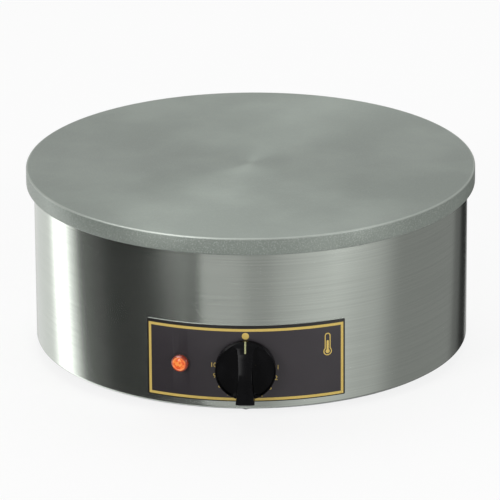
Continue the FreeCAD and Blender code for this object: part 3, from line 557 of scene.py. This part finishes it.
label_low, label_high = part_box("control_label")
label_reach = 26.2
label_radius = -label_low.y
label_sheet = 0.0005
label_corner = 0.001
label_edge = 0.00028
border_outer = 25.75
border_inner = 25.05
border_low = 0.0160
border_high = 0.0822
border_width = 0.0024
print_rise = 0.00006
print_sides = 40
ink_depth = 0.0001
dial_radius = 0.0281
dial_figure_height = 0.0041
capital_height = 0.7
dial_start = 89.5
dial_step = 20.56
off_mark_radius = 0.0031
off_mark_height = 0.0756
symbol_angle = 21.4
symbol_bulb_height = 0.0571
symbol_top_height = 0.0740
symbol_bulb_radius = 0.0039
symbol_stem_radius = 0.0027
symbol_line = 0.0009
column_bulb_radius = 0.0019
column_stem_radius = 0.0010
column_top_height = 0.0672
front_facing = 0.97
print_black = (0.030, 0.0255, 0.030, 1)
print_black_light = (0.037, 0.032, 0.036, 1)
print_margin = (0.011, 0.010, 0.010, 1)
gold = (0.60, 0.42, 0.085, 1)
gold_pale = (0.70, 0.53, 0.17, 1)
bare_aluminium = (0.62, 0.63, 0.61, 1)


def swept_strip(name, inner, outer, bottom, top, left, right):
    """Sweeps a flat section round the drum's axis, between two directions in degrees right of the front."""
    start = math.radians(right)
    middle = (inner + outer) / 2
    strip = start_piece(name, bpy.ops.mesh.primitive_plane_add, (outer - inner, top - bottom, 1), size=1,
                        rotation=(math.radians(90), 0, start - math.radians(90)),
                        location=(middle * math.sin(start), -middle * math.cos(start), (bottom + top) / 2))
    bpy.ops.object.mode_set(mode="EDIT")
    bpy.ops.mesh.select_all(action="SELECT")
    steps = max(2, round(right - left))
    bpy.ops.mesh.spin(steps=steps, angle=math.radians(right - left), center=(0, 0, 0), axis=(0, 0, 1))
    bpy.ops.mesh.select_all(action="SELECT")
    bpy.ops.mesh.normals_make_consistent(inside=False)
    bpy.ops.object.mode_set(mode="OBJECT")
    return strip


def join_up(name, *pieces):
    """Joins pieces into one."""
    choose(pieces[0])
    for piece in pieces[1:]:
        piece.select_set(True)
    bpy.ops.object.join()
    pieces[0].name = name
    return pieces[0]


def label_print():
    """Satin black screen print with a faint mesh grain, printed darker outside the border."""
    finish = Finish(bpy.data.materials.new("label_print"))
    x = axes_of(finish)
    height = x.output("Z")
    sideways = x.maths("ARCTAN2", x.output("Y") * -1.0).maths("ABSOLUTE") * math.degrees(1)
    margin = finish.rise(sideways, border_inner, border_outer)
    margin = margin.maths("MAXIMUM", 1.0 - finish.rise(height, border_low, border_low + border_width))
    margin = margin.maths("MAXIMUM", finish.rise(height, border_high - border_width, border_high))
    cloud = noise(finish, 40, 3)
    grain = noise(finish, 1600, 2)
    colour = finish.mix(cloud, print_black, print_black_light)
    colour = finish.mix(margin, colour, print_margin)
    return surface(finish, colour, 0.3 + (grain - 0.5) * 0.1, 0.0, grain, 0.000015)


def bare_edge():
    """Aluminium where the label's sheet is trimmed, with short filing lines."""
    finish = Finish(bpy.data.materials.new("label_edge"))
    lines = noise(finish, 900, 2, (1, 1, 0.2))
    colour = finish.mix(lines * 0.5, bare_aluminium, zinc_dull)
    return surface(finish, colour, 0.4 + lines * 0.15, 0.3, lines, 0.00002)


def gold_ink():
    """Gold ink with metal flakes of two tones, slightly uneven."""
    finish = Finish(bpy.data.materials.new("gold_ink"))
    flake = finish.rise(noise(finish, 2500, 2), 0.4, 0.6)
    patch = noise(finish, 60, 3)
    colour = finish.mix(flake * 0.5 + patch * 0.3, gold, gold_pale)
    return surface(finish, colour, 0.42 + flake * 0.1, 0.12, flake, 0.00001)


def at_label_corner(points):
    """True for the four short edges through the label's sheet at its corners."""
    level = at_height(label_low.z, label_high.z)
    through = abs(points[0].xy.length - points[1].xy.length) > touch
    return level(points) and through and all(abs(point.x) > side_reach for point in points)


label = swept_strip("label_sheet", label_radius - label_sheet, label_radius, label_low.z, label_high.z,
                    -label_reach, label_reach)
side_reach = label_radius * math.sin(math.radians(label_reach)) - 2 * label_sheet
pick(label, "EDGE", at_label_corner)
bpy.ops.mesh.bevel(offset=label_corner, segments=4, affect="EDGES")
for hole in drum_holes[:2]:
    drill = start_piece("drill", bpy.ops.mesh.primitive_cylinder_add, vertices=hole_sides,
                        radius=hole["radius"], depth=lower_flange)
    face_out(drill, drum_radius, hole["height"], hole["angle"])
    combine(label, drill, "DIFFERENCE")
modify(label, "BEVEL", width=label_edge, segments=2, limit_method="ANGLE", angle_limit=math.radians(50))
label_finish = label_print()
label.data.materials.append(label_finish.owner)
label.data.materials.append(bare_edge().owner)
for face in label.data.polygons:
    outward = Vector((face.center.x, face.center.y, 0)).normalized()
    face.material_index = 0 if face.normal.dot(outward) > front_facing else 1
place_piece(label, label_finish, "root", "label_print", "control_label")

ink = gold_ink()
ink_inner = label_radius - ink_depth
ink_outer = label_radius + print_rise
ink_middle = (ink_inner + ink_outer) / 2
ink_thickness = ink_depth + print_rise
side_low = border_low + border_width
side_high = border_high - border_width
border_lines = []
for bottom, top in ((border_low, side_low), (side_high, border_high)):
    border_lines.append(swept_strip("border_line", ink_inner, ink_outer, bottom, top,
                                    -border_outer, border_outer))
for left, right in ((-border_outer, -border_inner), (border_inner, border_outer)):
    border_lines.append(swept_strip("border_line", ink_inner, ink_outer, side_low, side_high, left, right))
border = join_up("label_border", *border_lines)
place_piece(border, ink, "root", "label_print")

figures = []
for number in range(1, 11):
    turn = math.radians(dial_start + dial_step * (number - 1))
    bpy.ops.object.select_all(action="DESELECT")
    bpy.ops.object.text_add()
    figure = bpy.context.object
    figure.data.body = str(number)
    figure.data.size = dial_figure_height / capital_height
    figure.data.align_x = "CENTER"
    figure.data.align_y = "CENTER"
    figure.data.extrude = ink_thickness / 2
    bpy.ops.object.convert(target="MESH")
    figure = bpy.context.object
    angle = math.degrees(dial_radius * math.sin(turn) / label_radius)
    face_out(figure, ink_middle, control_height + dial_radius * math.cos(turn), angle)
    figures.append(figure)
off_mark = start_piece("off_mark", bpy.ops.mesh.primitive_cylinder_add, vertices=print_sides,
                       radius=off_mark_radius, depth=ink_thickness)
face_out(off_mark, ink_middle, off_mark_height)
place_piece(join_up("dial_figures", *figures), ink, "root", "label_print")
place_piece(off_mark, ink, "root", "label_print")


def bulb_and_stem(name, bulb_radius, stem_radius, top, depth):
    """A bulb with a round-topped stem, as flat print, built about the bulb's centre."""
    stem_top = top - symbol_bulb_height - stem_radius
    shape = start_piece(name, bpy.ops.mesh.primitive_cylinder_add, vertices=print_sides, radius=bulb_radius,
                        depth=depth)
    stem = start_piece("stem", bpy.ops.mesh.primitive_cube_add, (2 * stem_radius, stem_top, depth), size=1,
                       location=(0, stem_top / 2, 0))
    combine(shape, stem, "UNION")
    cap = start_piece("cap", bpy.ops.mesh.primitive_cylinder_add, vertices=print_sides, radius=stem_radius,
                      depth=depth, location=(0, stem_top, 0))
    combine(shape, cap, "UNION")
    return shape


symbol = bulb_and_stem("heat_symbol", symbol_bulb_radius, symbol_stem_radius, symbol_top_height,
                       ink_thickness)
hollow = bulb_and_stem("hollow", symbol_bulb_radius - symbol_line, symbol_stem_radius - symbol_line,
                       symbol_top_height - symbol_line, 3 * ink_thickness)
combine(symbol, hollow, "DIFFERENCE")
column = bulb_and_stem("column", column_bulb_radius, column_stem_radius, column_top_height,
                       ink_thickness)
symbol = join_up("heat_symbol", symbol, column)
face_out(symbol, ink_middle, symbol_bulb_height, symbol_angle)
place_piece(symbol, ink, "root", "label_print")


# Pilot lamp: a moulded amber lens with a stepped rim and a faceted jewel, on a barrel through the drum.
# A spring washer holds the barrel from inside.

lens_low, lens_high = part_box("pilot_lamp_lens")
lamp_height = (lens_low.z + lens_high.z) / 2
lens_radius = 0.0074
lens_sides = 64
lens_base = label_radius + 0.001
lens_wall = 0.0026
lens_slope = 0.0014
lens_rim = 0.0009
lens_well = 0.0007
lens_bevel = 0.0002
jewel_height = 0.00154
jewel_radius = 0.00474
amber = (0.72, 0.105, 0.022, 1)
amber_facet_highlight = (0.90, 0.27, 0.055, 1)
amber_rim_shade = (0.23, 0.028, 0.012, 1)
amber_ring_highlight = (0.95, 0.42, 0.20, 1)
lamp_glow = 0.16


def amber_lens():
    """Glowing amber plastic with painted light: painted shade darkening its rim, a painted highlight ring
    inside the step and a painted highlight mottle where facets would catch the lamp.
    """
    finish = Finish(bpy.data.materials.new("amber_lens"))
    x = axes_of(finish)
    turn = math.radians(lamp_angle)
    sideways = x * math.cos(turn) + x.output("Y") * math.sin(turn)
    upward = x.output("Z") - lamp_height
    radius = (sideways * sideways + upward * upward).maths("SQRT")
    # Painted highlight: a lighter mottle where the jewel's facets would catch the lamp.
    facet_highlight = finish.rise(noise(finish, 330, 1), 0.42, 0.62)
    colour = finish.mix(facet_highlight, amber, amber_facet_highlight)
    step = lens_radius - lens_slope
    # Painted highlight: a pale ring just inside the step.
    pale = finish.rise(radius, step - 1.5 * lens_rim, step - lens_rim)
    pale = pale - finish.rise(radius, step - lens_rim, step)
    colour = finish.mix(pale * 0.35, colour, amber_ring_highlight)
    # Painted shade: deeper amber over the rim and its slope.
    rim = finish.rise(radius, step - lens_rim / 2, lens_radius - lens_slope / 2)
    colour = finish.mix(rim, colour, amber_rim_shade)
    return surface(finish, colour, 0.2 + facet_highlight * 0.06, 0.0, noise(finish, 500, 2), 0.00006,
                   Emission_Color=colour, Emission_Strength=lamp_glow, Coat_Weight=0.15, Coat_Roughness=0.08)


lens = start_piece("pilot_lens", bpy.ops.mesh.primitive_cylinder_add, vertices=lens_sides,
                   radius=lens_radius, depth=lens_wall, location=(0, 0, lens_wall / 2))
pick(lens, "FACE", at_height(lens_wall))
push(z=lens_slope)
shrink = (lens_radius - lens_slope) / lens_radius
bpy.ops.transform.resize(value=(shrink, shrink, 1), center_override=(0, 0, 0))
bpy.ops.mesh.inset(thickness=lens_rim)
push(z=-lens_well)
pick(lens, "EDGE", at_height(lens_wall + lens_slope))
bpy.ops.mesh.bevel(offset=lens_bevel, segments=2, affect="EDGES")
jewel = start_piece("jewel", bpy.ops.mesh.primitive_ico_sphere_add, (1, 1, jewel_height / lens_radius),
                    subdivisions=2, radius=jewel_radius, location=(0, 0, lens_wall + lens_slope - lens_well))
lens_parts = join_up("pilot_lens", lens, jewel)
face_out(lens_parts, lens_base, lamp_height, lamp_angle)
place_piece(lens_parts, amber_lens(), "root", "lamp_amber", "pilot_lamp_lens", smooth=20)
dress(moulding, "pilot_lamp_body")
dress(bracket_zinc, "pilot_lamp_clip")


# Control knob: a hollow black moulding with two dishes and a waisted grip, on the thermostat's spindle.
# Its edges are rounded by the mould, and a pale pointer line is filled into the ramp at its head.

knob_radius = (knob_high.x - knob_low.x) / 2
knob_round = 0.0005
ramp_slope = math.radians(34)
ramp_foot = 0.004
pointer_width = 0.0015
pointer_reach = 0.0090
pointer_depth = 0.0002
knob_black = (0.0025, 0.0025, 0.003, 1)
knob_worn = (0.006, 0.006, 0.007, 1)
knob_shine = 0.11
pointer_paint = (0.36, 0.37, 0.18, 1)
pointer_shade = (0.25, 0.26, 0.13, 1)


def knob_moulding():
    """Satin black moulding with a fine spark grain, slightly polished where fingers rub."""
    finish = Finish(bpy.data.materials.new("knob_moulding"))
    rubbed = finish.rise(noise(finish, 55, 3), 0.45, 0.7)
    grain = noise(finish, 2400, 2)
    colour = finish.mix(rubbed * 0.5, knob_black, knob_worn)
    return surface(finish, colour, 0.2 + (grain - 0.5) * 0.06 - rubbed * 0.04, 0.0, grain, 0.00001,
                   Specular_IOR_Level=knob_shine)


def pointer_filling():
    """Matt pale green paint with a slightly uneven tone."""
    finish = Finish(bpy.data.materials.new("pointer_paint"))
    patch = finish.rise(noise(finish, 500, 3), 0.4, 0.7)
    colour = finish.mix(patch, pointer_paint, pointer_shade)
    return surface(finish, colour, 0.5 + patch * 0.1, 0.0, noise(finish, 1500, 2), 0.00003)


def merged_copy(name, node):
    """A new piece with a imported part's shape, its triangles merged."""
    leave_edit_mode()
    piece = bpy.data.objects.new(name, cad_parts[node].data.copy())
    bpy.context.scene.collection.objects.link(piece)
    piece.data.materials.clear()
    choose(piece)
    bpy.ops.mesh.customdata_custom_splitnormals_clear()
    bpy.ops.object.mode_set(mode="EDIT")
    bpy.ops.mesh.select_all(action="SELECT")
    bpy.ops.mesh.remove_doubles(threshold=touch)
    bpy.ops.mesh.dissolve_limited(angle_limit=math.radians(1))
    bpy.ops.object.mode_set(mode="OBJECT")
    return piece


knob = merged_copy("knob_shell", "control_knob")
modify(knob, "BEVEL", width=knob_round, segments=3, limit_method="ANGLE", angle_limit=math.radians(35),
       use_clamp_overlap=False)


def past_the_rim(points):
    """True for the points that the bevel throws out where two of its edges cross."""
    return math.hypot(points[0].x, points[0].z - control_height) > knob_radius + touch


pick(knob, "VERT", past_the_rim)
bpy.ops.mesh.dissolve_verts()
place_piece(knob, knob_moulding(), "knob", "knob_plastic", "control_knob", smooth=35)
pointer_middle = knob_radius - pointer_reach / 2
pointer_front = ramp_foot + (knob_radius - pointer_middle) * math.tan(ramp_slope)
pointer = start_piece("pointer_line", bpy.ops.mesh.primitive_cube_add,
                      (pointer_width, pointer_reach / math.cos(ramp_slope), pointer_depth), size=1,
                      rotation=(math.radians(90) - ramp_slope, 0, 0),
                      location=(0, knob_high.y - pointer_front, control_height + pointer_middle))
modify(pointer, "BEVEL", width=pointer_depth / 3, segments=2)
place_piece(pointer, pointer_filling(), "knob", "knob_plastic")


# Cooking plate: a thick cast iron disc, turned on a lathe all over, with its rim edges broken.
# A spigot below centres it in the drum's flange, and three bosses take its studs.

plate_low, plate_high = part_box("cooking_plate")
plate_radius = plate_high.x
plate_top = plate_high.z
plate_bottom = drum_high.z
plate_edge = 0.0013
plate_sides = 360
spigot_wall = 0.004
spigot_gap = 0.0003
spigot_depth = 0.004
spigot_radius = drum_radius - upper_flange - spigot_gap
boss_radius = 0.007
boss_inset = 0.0182
boss_root = 0.002
boss_sides = 32
boss_depth = plate_bottom - plate_low.z + boss_root
stud_circle = drum_radius - upper_flange - boss_inset
iron = (0.27, 0.303, 0.272, 1)
iron_dark = (0.225, 0.255, 0.228, 1)
iron_grain_and_highlight = (0.46, 0.49, 0.455, 1)


def turned_iron():
    """Satin iron with concentric turning lines on its face, a sandy grain on its side and a painted
    highlight along its top edge.
    """
    finish = Finish(bpy.data.materials.new("turned_iron"))
    x = axes_of(finish)
    y = x.output("Y")
    radius = (x * x + y * y).maths("SQRT")
    mottle = noise(finish, 14, 5)
    grain = noise(finish, 900, 3)
    rings = finish.node("TexNoise", {"noise_dimensions": "1D"},
                        {"W": radius, "Scale": 1400.0, "Detail": 2.0})
    wall = finish.rise(radius, plate_radius - plate_edge, plate_radius - plate_edge / 3)
    colour = finish.mix(finish.rise(mottle, 0.35, 0.7), iron_dark, iron)
    colour = finish.mix(finish.rise(grain, 0.45, 0.75) * (wall * 0.45 + 0.12), colour, iron_grain_and_highlight)
    # Painted highlight: a lighter, mottled band along the top edge of the rim.
    edge = finish.rise(radius, plate_radius - 1.6 * plate_edge, plate_radius - 0.7 * plate_edge)
    edge = edge * finish.rise(x.output("Z"), plate_top - 1.2 * plate_edge, plate_top - 0.6 * plate_edge)
    colour = finish.mix(edge * (0.35 + mottle * 0.5), colour, iron_grain_and_highlight)
    roughness = 0.44 + (mottle - 0.5) * 0.12 + (rings - 0.5) * 0.1
    height = rings * (1.0 - wall) + grain * (wall * 1.6 + 0.25)
    return surface(finish, colour, roughness, 0.35, height, 0.00005,
                   Anisotropic=0.6, Anisotropic_Rotation=0.25)


plate = start_piece("turned_plate", bpy.ops.mesh.primitive_cylinder_add, vertices=plate_sides,
                    radius=plate_radius, depth=plate_top - plate_bottom,
                    location=(0, 0, (plate_top + plate_bottom) / 2))
pick(plate, "EDGE", at_height(plate_bottom, plate_top))
bpy.ops.mesh.bevel(offset=plate_edge, segments=4, affect="EDGES")
pick(plate, "FACE", at_height(plate_bottom))
bpy.ops.mesh.inset(thickness=plate_radius - plate_edge - spigot_radius)
push(z=-spigot_depth)
bpy.ops.mesh.inset(thickness=spigot_wall)
push(z=spigot_depth)
for third in range(3):
    angle = math.radians(120 * third - 90)
    place = (stud_circle * math.cos(angle), stud_circle * math.sin(angle), plate_low.z + boss_depth / 2)
    boss = start_piece("boss", bpy.ops.mesh.primitive_cylinder_add, vertices=boss_sides, radius=boss_radius,
                       depth=boss_depth, location=place)
    combine(plate, boss, "UNION")
place_piece(plate, turned_iron(), "root", "plate_iron", "cooking_plate")
dress(hardware, "plate_studs", "plate_nuts")
dress(bracket_zinc, "plate_clips")


# Heating element: a sheathed spiral under the plate, pressed up by a plated cross on two studs.
# Its ceramic beads and terminal pins stand at the back, below the insulation.

sheath = (0.115, 0.108, 0.095, 1)
sheath_blue = (0.10, 0.12, 0.15, 1)
sheath_straw = (0.26, 0.20, 0.12, 1)


def heated_sheath():
    """Dark oxidised sheath with blue and straw heat colours along the spiral."""
    finish = Finish(bpy.data.materials.new("heated_sheath"))
    blue = finish.rise(noise(finish, 18, 3), 0.42, 0.65)
    straw = finish.rise(noise(finish, 31, 3), 0.55, 0.72)
    colour = finish.mix(blue * 0.7, sheath, sheath_blue)
    colour = finish.mix(straw * 0.5, colour, sheath_straw)
    return surface(finish, colour, 0.5 + blue * 0.12, 0.7, noise(finish, 700, 3), 0.00004)


dress(heated_sheath(), "heating_element")
dress(ceramic, "element_insulators")
dress(zinc_sheet("spreader_zinc", zinc, zinc_light, 0.006), "element_spreader")
dress(hardware, "element_terminals", "element_studs", "spreader_nuts", "shield_spacers")


# Insulation: a rigid mineral board in a pressed, aluminised tray, which keeps heat off the controls.
# Both hang on the element's two studs, below the spacers, with a nut on each.

board_pale = (0.66, 0.61, 0.50, 1)
board_fibre = (0.46, 0.41, 0.32, 1)
tray_grey = (0.52, 0.52, 0.50, 1)


def mineral_board():
    """Matt pressed board with darker fibres lying flat."""
    finish = Finish(bpy.data.materials.new("mineral_board"))
    fibre = finish.rise(noise(finish, 500, 4, (1, 0.15, 1)), 0.5, 0.7)
    colour = finish.mix(fibre * 0.6, board_pale, board_fibre)
    return surface(finish, colour, 0.9, 0.0, fibre + noise(finish, 260, 4), 0.0002)


dress(mineral_board(), "insulation_board")
dress(zinc_sheet("tray_aluminised", tray_grey, zinc_light, 0.012), "heat_shield")
dress(hardware, "shield_nuts")
